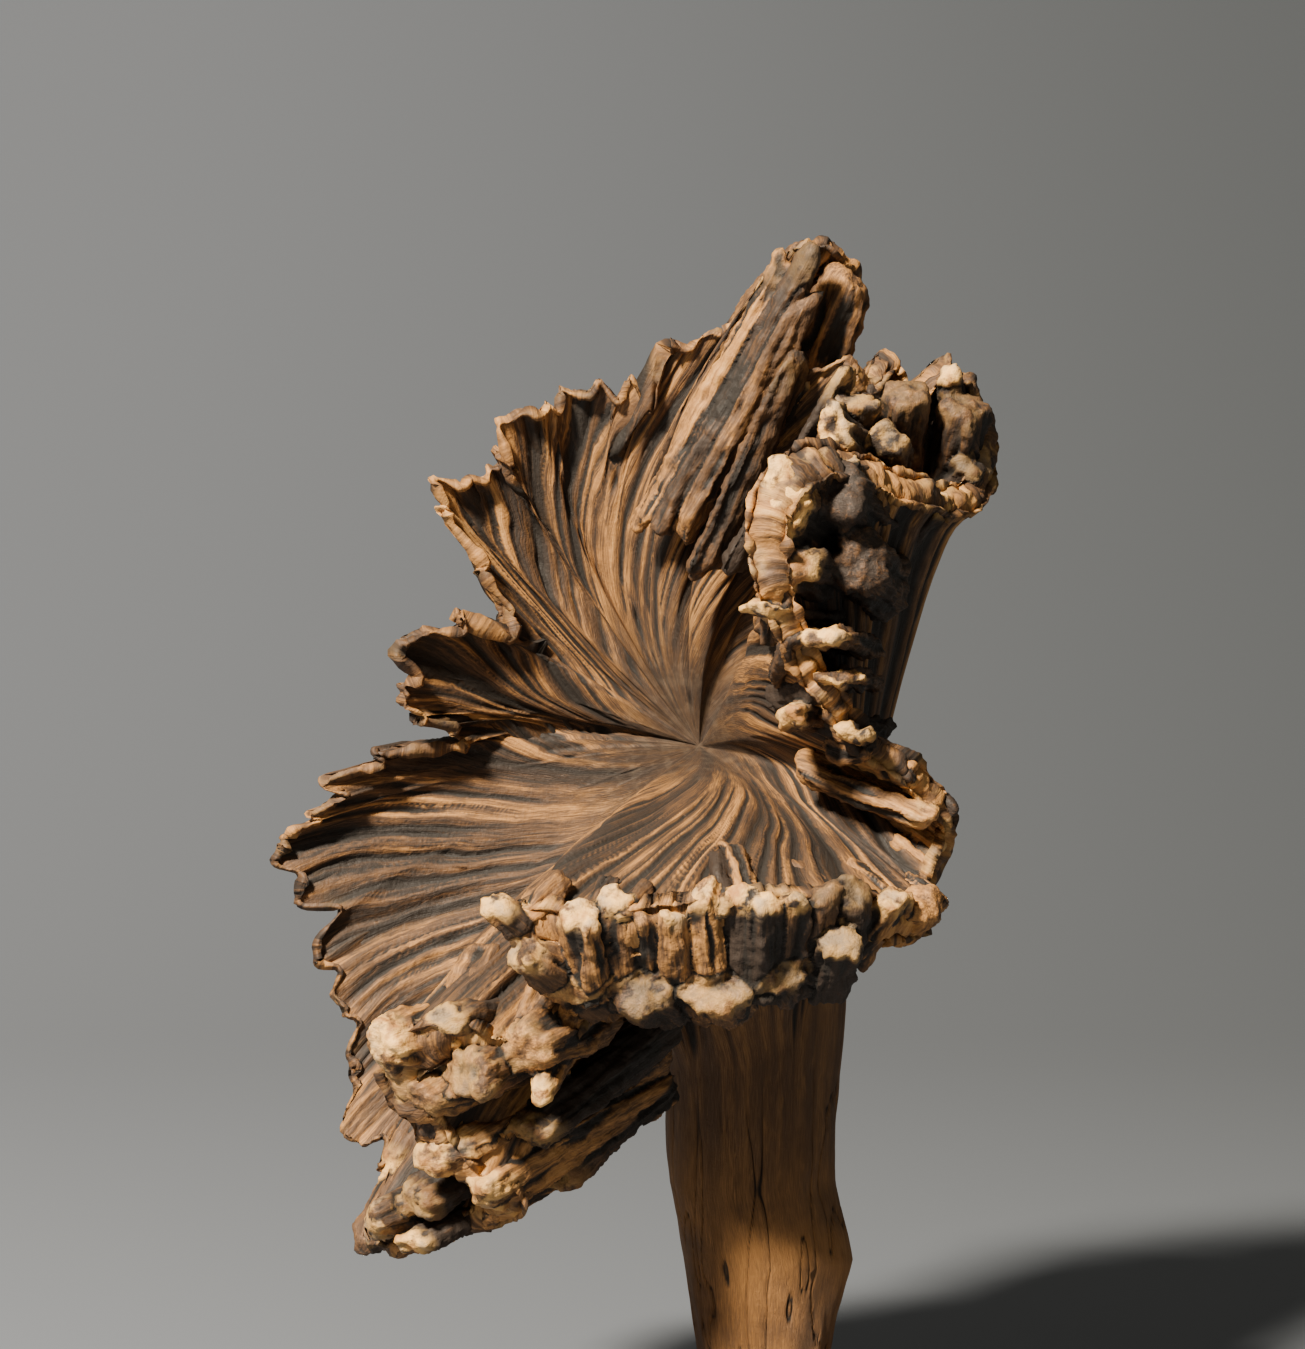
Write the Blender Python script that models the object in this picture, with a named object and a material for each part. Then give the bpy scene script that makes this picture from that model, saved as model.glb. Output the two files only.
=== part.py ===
"""A wood rose standing on a plain turned base.

The rose and the root under it are one grown piece of wood. Its skin is a UV sphere whose rings are laid
out again: from the heart of the rose out along the flutes to the rim, over the rim, down the outside and
down the root to its foot. The base and the two screws that hold the root to it are turned pieces.
"""

import math
from typing import NamedTuple

import bmesh
import bpy
import numpy as np
from mathutils import Vector

MM = 0.001  # every size below is in millimetres

# The base: a plain turned disc, its underside on the floor at the origin.
BASE_RADIUS = 80.0
BASE_HEIGHT = 16.0
BASE_EDGE = 3.0
BASE_SIDES = 72

GAP = 0.3  # between pieces that touch

# The screws that come up through the base into the root.
SCREW_SPACING = 22.0
SCREW_RADIUS = 2.5
SCREW_LENGTH = 45.0
SCREW_HEAD_RADIUS = 4.8
SCREW_HEAD_HEIGHT = 3.2
SCREW_SINK = 1.0
SCREW_SIDES = 20

# The rose: where its flutes meet, and the axis of the root that carries it.
HEART = np.array((3.0, 12.0, 217.0))
ROOT_X, ROOT_Y = 20.0, 20.0
HEART_WALL = 19.0  # thickness of wood behind the heart
COLLAR_Z = 134.0   # where the outside of the rose becomes root
COLLAR_TILT = (10.0, 12.0)

# How many columns run round the rose, and how many rings each stretch of its skin takes.
COLUMNS = 120
INNER_RINGS = 14
RIM_RINGS = 2
OUTER_RINGS = 11
ROOT_RINGS = 9
FOOT_RINGS = 1
FOOT_SPARE = 4.0  # moulded below the foot, then cut off flat

# The moulded skin is cast again on a grid, which clears its folds, and thinned to a light mesh.
CAST_GRID = 1.8
CAST_SHARE = 0.062


class Lobe(NamedTuple):
    """One lobe of the rose's rim, met clockwise as the rose faces the viewer.

    points are its places on the rim, each as far right, forward and up from the heart as it says. The
    other values hold at its first point and run evenly to the next lobe's: wall is the thickness of the
    rim, hollow and swing are how far the middle of a flute lies behind and right of a plain one, and
    bearing is where on the root the flute runs down, in degrees.
    """

    bearing: float
    wall: float
    hollow: float
    swing: float
    points: tuple


FLUTE_RISE = 4.0      # how far the middle of every flute is lifted
FLUTE_FORWARD = 0.58  # the share of its rim's forward reach that a flute has by its middle

LOBES = (
    # the spur that stands over the rose
    Lobe(95, 8, 9, -22, ((20, 40, 140), (32, 45, 148), (45, 32, 140), (40, 30, 122))),
    # the crest of plates and knobs, ending in the ear at the right
    Lobe(66, 7, 5, -14, ((28, 48, 114), (42, 54, 115), (50, 48, 106), (57, 38, 112), (66, 30, 104))),
    Lobe(24, 9, 4, -12, ((74, 28, 113), (83, 28, 96))),
    # the right wall, folding forward into the thick broken face
    Lobe(6, 9, 9, 2, ((76, 42, 80), (58, 70, 82), (40, 90, 90))),
    Lobe(-20, 13, 11, 9, ((24, 105, 90), (12, 112, 74), (13, 112, 56))),
    # the chipped edge under the face, then the petal at the right
    Lobe(-36, 8, 2, 7, ((18, 108, 42), (28, 98, 24))),
    Lobe(-48, 7, -3, 2, ((42, 86, 6), (57, 78, -5), (70, 68, -20), (64, 76, -31))),
    # the thick lip along the front
    Lobe(-68, 13, -2, -6, ((66, 85, -38), (45, 102, -36), (18, 115, -34))),
    Lobe(-94, 16, 0, 2, ((-8, 120, -35), (-34, 118, -39), (-56, 111, -38))),
    # the cleft, then the lump, the rolls and the toe of the lower left lobe
    Lobe(-128, 11, 1, 2, ((-42, 90, -60), (-52, 100, -75))),
    Lobe(-144, 14, 8, -2, ((-72, 108, -70), (-92, 100, -80), (-80, 85, -107))),
    Lobe(-163, 12, 0, -4, ((-62, 78, -123), (-74, 64, -134), (-96, 58, -141))),
    # the thin fluted skirt at the left
    Lobe(-184, 4, 6, -1, ((-97, 42, -121), (-104, 35, -98), (-108, 30, -75))),
    Lobe(-202, 4, 9, 0, ((-118, 28, -50), (-126, 28, -30), (-113, 28, -18), (-97, 26, -3), (-72, 18, 3))),
    # the small fan, the side tip and the crown, with a notch between each two
    Lobe(-229, 4, 14, -3, ((-83, 32, 12), (-87, 37, 26), (-74, 34, 40), (-57, 20, 36))),
    Lobe(-247, 4, 10, -5, ((-70, 24, 64), (-75, 28, 78), (-57, 20, 81))),
    Lobe(-257, 4, 9, -6, ((-62, 28, 95), (-50, 28, 106), (-37, 20, 102))),
    Lobe(-261, 4, 7, -15, ((-22, 24, 109), (-8, 27, 118), (5, 29, 121))),
)


class RootRing(NamedTuple):
    """One level of the root: its height, its shift to the right, its half width and its half depth."""

    height: float
    shift: float
    half_width: float
    half_depth: float


ROOT = (
    RootRing(BASE_HEIGHT + GAP, 2, 18, 17),
    RootRing(45, 2, 22, 19),
    RootRing(62, 3, 25, 22),
    RootRing(85, -1, 25, 21),
    RootRing(118, -1, 26, 22),
    RootRing(160, 0, 29, 27),
)


def smooth_step(low, high, values):
    """Rise smoothly from 0 at low to 1 at high."""
    ramp = np.clip((values - low) / (high - low), 0.0, 1.0)
    return ramp * ramp * (3.0 - 2.0 * ramp)


def closed_curve(points, places):
    """Read a closed smooth curve through the points, at places counted in points from the first."""
    start = np.floor(places).astype(int)
    part = (places - start)[:, None]
    before, here, there, after = (points[(start + step) % len(points)] for step in (-1, 0, 1, 2))
    return 0.5 * (
        2.0 * here
        + (there - before) * part
        + (2.0 * before - 5.0 * here + 4.0 * there - after) * part**2
        + (3.0 * here - before - 3.0 * there + after) * part**3
    )


def unit(vectors):
    """Scale each vector to length 1."""
    return vectors / np.maximum(np.linalg.norm(vectors, axis=-1, keepdims=True), 1e-9)


class Rose:
    """The skin of the rose and its root, as rings of points round it."""

    SAMPLES = 60  # steps along each flute that the skin is read from

    def __init__(self):
        rim, driven = self.rim_points()
        places = self.even_places(rim)
        rim = closed_curve(rim, places)
        along = range(len(driven) + 1)
        bearing, wall, hollow, swing = (
            np.interp(places, along, [*values, last]) for values, last in zip(driven.T, self.first_again())
        )
        middle = self.middles(rim, hollow, swing)
        self.wall = wall[:, None]
        self.bearing = np.radians(bearing)
        self.steps = np.linspace(0.0, 1.0, self.SAMPLES + 1)
        self.inside = self.flutes(rim, middle)
        self.outside = self.inside + self.thickness() * self.backward()

    @staticmethod
    def first_again():
        """Give the first lobe's values once more, a full turn on, to close the rim."""
        first = LOBES[0]
        return first.bearing - 360.0, first.wall, first.hollow, first.swing

    @classmethod
    def rim_points(cls):
        """Give every point of the rim, and the four driven values at each."""
        ends = [lobe[:4] for lobe in LOBES[1:]] + [cls.first_again()]
        points, driven = [], []
        for lobe, end in zip(LOBES, ends):
            for number, (right, forward, up) in enumerate(lobe.points):
                share = number / len(lobe.points)
                points.append(HEART + (right, -forward, up))
                driven.append([a + (b - a) * share for a, b in zip(lobe[:4], end)])
        return np.array(points), np.array(driven)

    @staticmethod
    def middles(rim, hollow, swing):
        """Give the middle of each flute, half-way out and set back and aside as its lobe asks."""
        middle = (rim - HEART) / 2.0
        middle[:, 0] += swing
        middle[:, 1] += (FLUTE_FORWARD - 0.5) * (rim - HEART)[:, 1] + hollow
        middle[:, 2] += FLUTE_RISE
        return HEART + middle

    @staticmethod
    def even_places(rim):
        """Space the columns evenly along the rim, a little closer where its points crowd."""
        fine = np.linspace(0.0, len(rim), 4001)
        points = closed_curve(rim, fine)
        step = np.linalg.norm(np.diff(points, axis=0), axis=1)
        length = np.concatenate(([0.0], np.cumsum(step + 0.4 * step.mean())))
        return np.interp(np.arange(COLUMNS) / COLUMNS * length[-1], length, fine)

    def flutes(self, rim, middle):
        """Run a curved flute from the heart through each column's middle to its place on the rim."""
        steps = self.steps[None, :, None]
        bend = (2.0 * middle - (HEART + rim) / 2.0)[:, None]
        return (1.0 - steps) ** 2 * HEART + 2.0 * steps * (1.0 - steps) * bend + steps**2 * rim[:, None]

    def thickness(self):
        """Give the wood's thickness along each flute: stout at the heart, the wall's own at the rim."""
        heart = HEART_WALL * (1.0 - smooth_step(0.15, 0.95, self.steps))
        return (self.wall * smooth_step(0.0, 0.7, self.steps) + heart)[..., None]

    def backward(self):
        """Give the direction from the fluted face into the wood."""
        across = np.roll(self.inside, -1, 0) - np.roll(self.inside, 1, 0)
        normals = unit(np.cross(np.gradient(self.inside, axis=1), across))
        for _ in range(2):
            normals = 0.25 * np.roll(normals, 1, 0) + 0.5 * normals + 0.25 * np.roll(normals, -1, 0)
        return unit(normals)

    def along(self, surface, step):
        """Read one ring of a surface at a step between the heart, 0, and the rim, 1."""
        place = step * self.SAMPLES
        low = min(int(place), self.SAMPLES - 1)
        return surface[:, low] * (low + 1 - place) + surface[:, low + 1] * (place - low)

    def root_ring(self, height):
        """Give the ring of root points at a height, which may differ from column to column."""
        levels = [ring.height for ring in ROOT]
        shift, half_width, half_depth = (
            np.interp(height, levels, [ring[size] for ring in ROOT]) for size in (1, 2, 3)
        )
        x = ROOT_X + shift + half_width * np.cos(self.bearing)
        y = ROOT_Y + half_depth * np.sin(self.bearing)
        return np.stack((x, y, np.broadcast_to(height, x.shape)), -1)

    def rim_ring(self, turn):
        """Give a ring round the rim, turn going from 0 inside to pi outside."""
        inner, outer = self.inside[:, -1], self.outside[:, -1]
        outward = unit(self.inside[:, -1] - self.inside[:, -3]) * self.wall * 0.4
        return (inner + outer) / 2 + (inner - outer) / 2 * math.cos(turn) + outward * (math.sin(turn) - 1.0)

    def outer_ring(self, part):
        """Give a ring of the outside, part going from 0 at the rim to 1 at the collar of the root."""
        collar = COLLAR_Z + COLLAR_TILT[0] * np.cos(self.bearing) + COLLAR_TILT[1] * np.sin(self.bearing)
        spread = np.stack((np.cos(self.bearing), np.sin(self.bearing), np.zeros(COLUMNS)), -1)
        neck = self.root_ring(collar) + spread * 16.0 * (1.0 - part) ** 2
        neck[:, 2] += 30.0 * (1.0 - part)
        share = smooth_step(0.15, 1.0, part)
        return (1.0 - share) * self.along(self.outside, 1.0 - 0.66 * part) + share * neck

    def rings(self):
        """Give every ring between the heart and the middle of the foot, in order."""
        rings = [self.along(self.inside, (k / (INNER_RINGS + 1)) ** 0.9) for k in range(1, INNER_RINGS + 1)]
        rings += [self.rim_ring(math.pi * k / (RIM_RINGS + 1)) for k in range(RIM_RINGS + 2)]
        rings += [self.outer_ring(k / OUTER_RINGS) for k in range(1, OUTER_RINGS + 1)]
        collar = rings[-1][:, 2]
        foot_height = BASE_HEIGHT + GAP - FOOT_SPARE
        for k in range(1, ROOT_RINGS + 1):
            rings.append(self.root_ring(collar + (foot_height - collar) * k / ROOT_RINGS))
        foot, centre = rings[-1], rings[-1].mean(axis=0)
        rings += [foot + (centre - foot) * k / (FOOT_RINGS + 1) for k in range(1, FOOT_RINGS + 1)]
        return np.array(rings)


def clear_scene():
    """Take every object out of the scene."""
    for old in list(bpy.data.objects):
        bpy.data.objects.remove(old)


def material(name, color, roughness, metallic=0.0):
    """Make a Principled material."""
    made = bpy.data.materials.new(name)
    made.use_nodes = True
    shader = made.node_tree.nodes["Principled BSDF"]
    shader.inputs["Base Color"].default_value = (*color, 1.0)
    shader.inputs["Roughness"].default_value = roughness
    shader.inputs["Metallic"].default_value = metallic
    return made


def finish_object(name, finish, sharp_angle=35.0):
    """Name the active object, give it its material and shade it smooth."""
    piece = bpy.context.object
    piece.name = piece.data.name = name
    piece.data.materials.append(finish)
    piece.data.shade_smooth()
    piece.data.set_sharp_from_angle(angle=math.radians(sharp_angle))
    return piece


def cut(piece, cutter):
    """Cut one piece with a cutter, which stays in the scene as a guide."""
    cutter.hide_render = True
    cutter.display_type = "WIRE"
    modifier = piece.modifiers.new(cutter.name, "BOOLEAN")
    modifier.operation = "DIFFERENCE"
    modifier.object = cutter


def build_rose(finish):
    """Mould a UV sphere into the rose and its root: its rings go from the heart to the foot."""
    rings = Rose().rings()
    bpy.ops.mesh.primitive_uv_sphere_add(segments=COLUMNS, ring_count=len(rings) + 1, radius=1.0)
    piece = finish_object("wood_rose", finish, 60.0)
    for vertex in piece.data.vertices:
        ring = round(math.acos(max(-1.0, min(1.0, vertex.co.z))) / math.pi * (len(rings) + 1)) - 1
        column = round(math.atan2(vertex.co.y, vertex.co.x) / (2.0 * math.pi) * COLUMNS) % COLUMNS
        if ring < 0:
            vertex.co = Vector(HEART) * MM
        elif ring == len(rings):
            vertex.co = Vector(rings[-1].mean(axis=0)) * MM
        else:
            vertex.co = Vector(rings[ring][column]) * MM
    cast = piece.modifiers.new("cast", "REMESH")
    cast.mode = "VOXEL"
    cast.voxel_size = CAST_GRID * MM
    thin = piece.modifiers.new("thin", "DECIMATE")
    thin.ratio = CAST_SHARE
    thin.use_collapse_triangulate = True
    bpy.ops.mesh.primitive_cube_add(size=1.0)
    saw = finish_object("foot_saw", finish)
    saw.scale = Vector((4.0 * ROOT[0].half_width, 4.0 * ROOT[0].half_width, BASE_HEIGHT)) * MM
    saw.location = Vector((ROOT_X, ROOT_Y, BASE_HEIGHT / 2 + GAP)) * MM
    cut(piece, saw)
    return piece


def turned(name, outline, sides, finish):
    """Spin an outline of (radius, height) points, on the axis at both ends, into a closed round piece."""
    bpy.ops.mesh.primitive_plane_add()
    shape = bmesh.new()
    points = [shape.verts.new((radius * MM, 0.0, height * MM)) for radius, height in outline]
    edges = [shape.edges.new(pair) for pair in zip(points, points[1:])]
    bmesh.ops.spin(
        shape, geom=points + edges, axis=(0, 0, 1), cent=(0, 0, 0), angle=2.0 * math.pi, steps=sides
    )
    bmesh.ops.remove_doubles(shape, verts=shape.verts, dist=1e-6)
    bmesh.ops.recalc_face_normals(shape, faces=shape.faces)
    shape.to_mesh(bpy.context.object.data)
    shape.free()
    return finish_object(name, finish)


def base_outline():
    """Give the base's turned outline, with its two edges eased over in quarter rounds."""
    corner = [(math.cos(turn), math.sin(turn)) for turn in np.linspace(0.0, math.pi / 2, 5)]
    reach = BASE_RADIUS - BASE_EDGE
    lower = [(reach + BASE_EDGE * along, BASE_EDGE - BASE_EDGE * up) for along, up in corner]
    upper = [(reach + BASE_EDGE * along, BASE_HEIGHT - BASE_EDGE + BASE_EDGE * up) for along, up in corner]
    return [(0.0, 0.0), *reversed(lower), *upper, (0.0, BASE_HEIGHT)]


def screw_outline(ease):
    """Give a countersunk screw's outline from head to point, made larger all round by ease."""
    head, shank = SCREW_HEAD_RADIUS + ease, SCREW_RADIUS + ease
    low, tip = SCREW_SINK - ease, SCREW_SINK + SCREW_LENGTH + ease
    neck = SCREW_SINK + SCREW_HEAD_HEIGHT + ease
    return [(0.0, low), (head, low), (shank, neck), (shank, tip - 6.0), (0.0, tip)]


def screw_hole_outline():
    """Give the hole for a screw: its own outline eased by the gap, open at the base's underside."""
    eased = screw_outline(GAP)
    mouth = eased[1][0]
    return [(0.0, -2.0), (mouth, -2.0), *eased[1:]]


def main():
    """Build the three kinds of piece and drill the screw holes."""
    clear_scene()
    aged_wood = material("aged_root_wood", (0.23, 0.135, 0.07), 0.72)
    base_wood = material("base_wood", (0.12, 0.062, 0.032), 0.45)
    steel = material("screw_steel", (0.6, 0.6, 0.58), 0.35, 1.0)

    rose = build_rose(aged_wood)
    base = turned("stand_base", base_outline(), BASE_SIDES, base_wood)
    for number, side in enumerate((-1, 1), start=1):
        place = Vector((ROOT_X + ROOT[0].shift + side * SCREW_SPACING / 2, ROOT_Y, 0.0)) * MM
        screw = turned(f"fixing_screw_{number}", screw_outline(0.0), SCREW_SIDES, steel)
        screw.location = place
        hole = turned(f"screw_hole_{number}", screw_hole_outline(), SCREW_SIDES, steel)
        hole.location = place
        cut(rose, hole)
        cut(base, hole)


main()
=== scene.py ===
"""A wood rose on its own root, standing on a plain turned base.

Sizes are in millimetres inside the classes and become metres where a mesh is written. The rose, its root
and everything on it are one grown piece of wood, so all of it rides on the model's one body.
"""

import logging
import math
from dataclasses import dataclass, field
from typing import NamedTuple

import bpy
import numpy as np
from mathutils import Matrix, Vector


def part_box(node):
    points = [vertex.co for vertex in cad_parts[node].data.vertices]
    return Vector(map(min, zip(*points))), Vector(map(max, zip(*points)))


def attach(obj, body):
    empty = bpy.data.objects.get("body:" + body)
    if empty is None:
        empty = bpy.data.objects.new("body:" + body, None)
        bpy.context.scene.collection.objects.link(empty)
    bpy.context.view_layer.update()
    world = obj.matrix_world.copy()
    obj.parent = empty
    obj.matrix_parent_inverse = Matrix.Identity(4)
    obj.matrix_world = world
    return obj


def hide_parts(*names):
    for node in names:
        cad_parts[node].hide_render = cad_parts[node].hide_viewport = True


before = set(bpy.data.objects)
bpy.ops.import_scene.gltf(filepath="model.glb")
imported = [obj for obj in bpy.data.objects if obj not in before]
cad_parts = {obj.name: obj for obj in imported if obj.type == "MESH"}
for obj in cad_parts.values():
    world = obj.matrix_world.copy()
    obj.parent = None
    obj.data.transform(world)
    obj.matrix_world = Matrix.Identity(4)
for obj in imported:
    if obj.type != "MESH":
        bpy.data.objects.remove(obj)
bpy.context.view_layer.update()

log = logging.getLogger("wood_rose")

MM = 0.001
BODY = "root"
ROSE_NODE = "wood_rose"
BASE_NODE = "stand_base"
SCREW_NODES = ("fixing_screw_1", "fixing_screw_2")
GRAIN_RADIUS = 0.207  # the grain is read from a drum of this radius, in metres
GRAIN_ALONG = 0.12    # how much the grain is drawn out along the wood
GRAIN_APART = 0.05    # metres of grain between one broken end and the next
STUB_SPREAD = 1.3     # the spread of skin, in metres, that broken ends are finished for

Array = np.ndarray


# ---------------------------------------------------------------- numbers and noise


def smooth_step(low: float, high: float, values: Array) -> Array:
    """Rise smoothly from 0 at low to 1 at high.

    Args:
        low: Where the rise starts.
        high: Where it ends.
        values: What to read.

    Returns:
        One number from 0 to 1 for each value.
    """
    ramp = np.clip((values - low) / (high - low), 0.0, 1.0)
    return ramp * ramp * (3.0 - 2.0 * ramp)


def unit(vectors: Array) -> Array:
    """Scale each vector to length 1."""
    return vectors / np.maximum(np.linalg.norm(vectors, axis=-1, keepdims=True), 1e-9)


def closed_curve(points: Array, places: Array) -> Array:
    """Read a closed smooth curve through points.

    Args:
        points: The points it passes through, one row each.
        places: Where to read it, counted in points from the first.

    Returns:
        One row for each place.
    """
    start = np.floor(places).astype(int)
    part = (places - start)[:, None]
    before, here, there, after = (points[(start + step) % len(points)] for step in (-1, 0, 1, 2))
    return 0.5 * (
        2.0 * here
        + (there - before) * part
        + (2.0 * before - 5.0 * here + 4.0 * there - after) * part**2
        + (3.0 * here - before - 3.0 * there + after) * part**3
    )


@dataclass(frozen=True)
class Grain:
    """Smooth random relief that fills space, the same on every run.

    Attributes:
        seed: Which of the many reliefs this is.
    """

    seed: int

    def at(self, points: Array) -> Array:
        """Read the relief.

        Args:
            points: Places, three numbers each, in cells of the relief.

        Returns:
            A number from -1 to 1 for each place.
        """
        cell = np.floor(points).astype(np.int64)
        part = points - cell
        part = part * part * (3.0 - 2.0 * part)
        total = np.zeros(points.shape[:-1])
        for corner in np.ndindex(2, 2, 2):
            weight = np.prod(np.where(corner, part, 1.0 - part), axis=-1)
            total += weight * self.corner(cell + corner)
        return 2.0 * total - 1.0

    def corner(self, cell: Array) -> Array:
        """Draw the random numbers that belong to corners of cells.

        Args:
            cell: The corners, three whole numbers each.

        Returns:
            A number from 0 to 1 for each corner.
        """
        mixed = cell[..., 0] * 73856093 ^ cell[..., 1] * 19349663 ^ cell[..., 2] * 83492791
        mixed = (mixed ^ self.seed * 2654435761) & 0xFFFFFFFF
        mixed = (mixed ^ mixed >> 15) * 2246822519 & 0xFFFFFFFF
        mixed = (mixed ^ mixed >> 13) * 3266489917 & 0xFFFFFFFF
        return (mixed ^ mixed >> 16) / 0xFFFFFFFF

    def layered(self, points: Array, layers: int) -> Array:
        """Add layers of relief, each twice as fine and half as strong as the one before."""
        return sum(Grain(self.seed + k).at(points * 2**k) / 2**k for k in range(layers))


# ---------------------------------------------------------------- the form of the rose


class Lobe(NamedTuple):
    """One lobe of the rose's rim, met clockwise as the rose faces the viewer.

    points are its places on the rim, each as far right, forward and up from the heart as it says. The
    other values hold at its first point and run evenly to the next lobe's: wall is the thickness of the
    rim, hollow and swing are how far the middle of a flute lies behind and right of a plain one, and
    bearing is where on the root the flute runs down, in degrees.
    """

    bearing: float
    wall: float
    hollow: float
    swing: float
    points: tuple[tuple[float, float, float], ...]


FLUTE_RISE = 4.0      # how far the middle of every flute is lifted
FLUTE_FORWARD = 0.58  # the share of its rim's forward reach that a flute has by its middle

TOOTH_CELLS = 95.0    # how many uneven stretches the teeth have round the rim
THIN_WALL = 4.5       # up to this thickness the rim ends in teeth

LOBES = (
    # the spur that stands over the rose
    Lobe(95, 8, 9, -22, ((20, 40, 140), (32, 45, 148), (45, 32, 140), (40, 30, 122))),
    # the crest of plates and knobs, ending in the ear at the right
    Lobe(66, 7, 5, -14, ((28, 48, 114), (42, 54, 115), (50, 48, 106), (57, 38, 112), (66, 30, 104))),
    Lobe(24, 9, 4, -12, ((74, 28, 113), (83, 28, 96))),
    # the right wall, folding forward into the thick broken face
    Lobe(6, 9, 9, 2, ((76, 42, 80), (58, 70, 82), (40, 90, 90))),
    Lobe(-20, 13, 11, 9, ((24, 105, 90), (12, 112, 74), (13, 112, 56))),
    # the chipped edge under the face, then the petal at the right
    Lobe(-36, 8, 2, 7, ((18, 108, 42), (28, 98, 24))),
    Lobe(-48, 7, -3, 2, ((42, 86, 6), (57, 78, -5), (70, 68, -20), (64, 76, -31))),
    # the thick lip along the front
    Lobe(-68, 13, -2, -6, ((66, 85, -38), (45, 102, -36), (18, 115, -34))),
    Lobe(-94, 16, 0, 2, ((-8, 120, -35), (-34, 118, -39), (-56, 111, -38))),
    # the cleft, then the lump, the rolls and the toe of the lower left lobe
    Lobe(-128, 11, 1, 2, ((-42, 90, -60), (-52, 100, -75))),
    Lobe(-144, 14, 8, -2, ((-72, 108, -70), (-92, 100, -80), (-80, 85, -107))),
    Lobe(-163, 12, 0, -4, ((-62, 78, -123), (-74, 64, -134), (-96, 58, -141))),
    # the thin fluted skirt at the left
    Lobe(-184, 4, 6, -1, ((-97, 42, -121), (-104, 35, -98), (-108, 30, -75))),
    Lobe(-202, 4, 9, 0, ((-118, 28, -50), (-126, 28, -30), (-113, 28, -18), (-97, 26, -3), (-72, 18, 3))),
    # the small fan, the side tip and the crown, with a notch between each two
    Lobe(-229, 4, 14, -3, ((-83, 32, 12), (-87, 37, 26), (-74, 34, 40), (-57, 20, 36))),
    Lobe(-247, 4, 10, -5, ((-70, 24, 64), (-75, 28, 78), (-57, 20, 81))),
    Lobe(-257, 4, 9, -6, ((-62, 28, 95), (-50, 28, 106), (-37, 20, 102))),
    Lobe(-261, 4, 7, -15, ((-22, 24, 109), (-8, 27, 118), (5, 29, 121))),
)


class RootRing(NamedTuple):
    """One level of the root: its height, its shift to the right, its half width and its half depth."""

    height: float
    shift: float
    half_width: float
    half_depth: float


ROOT = (
    RootRing(16.3, 2, 18, 17),
    RootRing(45, 2, 22, 19),
    RootRing(62, 3, 25, 22),
    RootRing(85, -1, 25, 21),
    RootRing(118, -1, 26, 22),
    RootRing(160, 0, 29, 27),
)


@dataclass(frozen=True)
class Furrows:
    """One set of furrows between strands of wood, which starts where the strands have spread enough.

    Attributes:
        count: How many furrows run round the whole rose.
        seed: Which random layout they take.
        depth: How deep they go, for each millimetre between them.
        deepest: The most that they go in, in millimetres.
        narrowest: The spacing, in millimetres, at which they start to show.
    """

    STRAY = 0.6          # how much the furrows stray from even spacing, in spacings
    SWAY = 0.06          # how far they wander on their way, in spacings
    SWAY_RATE = 7.0      # how fast they wander, in radians over a flute
    LAST_START = 0.75    # where along the flute the last ones begin
    DEEPENS = 0.16       # how much of the flute they take to deepen
    FAINTEST = 0.35      # the strength of the faintest
    DOME_HALF = 0.55     # from a furrow's middle to the strand's full height, in spacings
    SLIT_HALF = 0.2      # half width of the slit that is painted dark as shade, in spacings

    count: int
    seed: int
    depth: float
    deepest: float
    narrowest: float

    def tone(self, turn: Array) -> Array:
        """Read how light the strands are.

        Args:
            turn: How far round each point is, in whole turns.

        Returns:
            The tone of the strand that each point lies on, from -1 to 1.
        """
        place = turn * self.count
        low = np.floor(place).astype(np.int64)
        part = smooth_step(0.3, 0.7, place - low)
        here, there = (self.draw((low + step) % self.count, 4) for step in (0, 1))
        return 2.0 * (here + (there - here) * part) - 1.0

    def relief(self, turn: Array, reach: Array, spread: Array) -> tuple[Array, Array]:
        """Work out the furrows over the skin.

        Args:
            turn: How far round each point is, in whole turns.
            reach: How far along its flute each point is, from the heart.
            spread: How many millimetres of skin a whole turn holds at each point.

        Returns:
            The height in millimetres, 0 on the ridges, and how deep in a furrow each point is, 0 to 1, which
            the rose's finish darkens as painted shade.
        """
        place = turn * self.count
        near = np.floor(place).astype(np.int64)
        dome = np.ones_like(place)
        slit = np.zeros_like(place)
        for step in (-1, 0, 1, 2):
            which = (near + step) % self.count
            shift, start, strength, sway = (self.draw(which, k) for k in range(4))
            wander = self.SWAY * np.sin(self.SWAY_RATE * reach + 6.3 * sway)
            middle = near + step + self.STRAY * (shift - 0.5) + wander
            begun = smooth_step(0.0, self.DEEPENS, reach - self.LAST_START * start**2)
            begun = begun * (self.FAINTEST + (1.0 - self.FAINTEST) * strength)
            away = np.abs(place - middle)
            round_top = 1.0 - (1.0 - np.clip(away / self.DOME_HALF, 0.0, 1.0)) ** 2
            dome = np.minimum(dome, 1.0 - begun * (1.0 - round_top))
            slit = np.maximum(slit, begun * np.exp(-((away / self.SLIT_HALF) ** 2)))
        spacing = spread / self.count
        shown = smooth_step(self.narrowest, 2.2 * self.narrowest, spacing)
        amount = np.minimum(self.depth * spacing, self.deepest) * shown
        return amount * (dome - 1.0), slit * shown

    def draw(self, which: Array, row: int) -> Array:
        """Draw a random number from 0 to 1 for each furrow."""
        return np.random.default_rng(self.seed * 10 + row).random(self.count)[which]


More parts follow.
